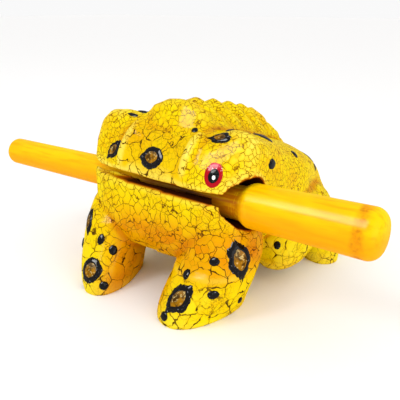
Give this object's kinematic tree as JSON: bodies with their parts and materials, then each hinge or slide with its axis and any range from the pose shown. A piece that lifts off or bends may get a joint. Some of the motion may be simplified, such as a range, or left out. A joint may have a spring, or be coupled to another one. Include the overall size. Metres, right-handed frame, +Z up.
{
  "type": "frog guiro",
  "caption": "Carved wooden frog rasp with a scalloped crest along its back, a hollow belly behind a slit mouth, and a turned stick kept through its cheeks.",
  "frame": {"origin": "on the table under the middle of the whole object's box", "axes": "+X along the stick towards its thick handle, -Y the way the frog faces, +Z up from the table"},
  "size_m": [0.153, 0.1047, 0.0643],
  "materials": {
    "crackle_wood": "carved hardwood under glossy yellow crackle lacquer with dark brown cracks",
    "stick_enamel": "turned hardwood under glossy orange-yellow enamel",
    "black_paint": "thick glossy black paint",
    "gold_paint": "thick brown-gold paint",
    "red_paint": "glossy red paint",
    "white_paint": "white paint"
  },
  "bodies": {
    "frog": {"frog_body": "crackle_wood", "eye_reds": "red_paint", "eye_pupils": "black_paint", "eye_glints": "white_paint", "spot_rings": "black_paint", "spot_centres": "gold_paint", "dots_black": "black_paint"},
    "stick": {"stick": "stick_enamel"}
  },
  "joints": [
    {"name": "stick_slide", "type": "slide", "parent": "frog", "child": "stick", "axis": [1, 0, 0], "range_m": [0, 0.118]}
  ]
}
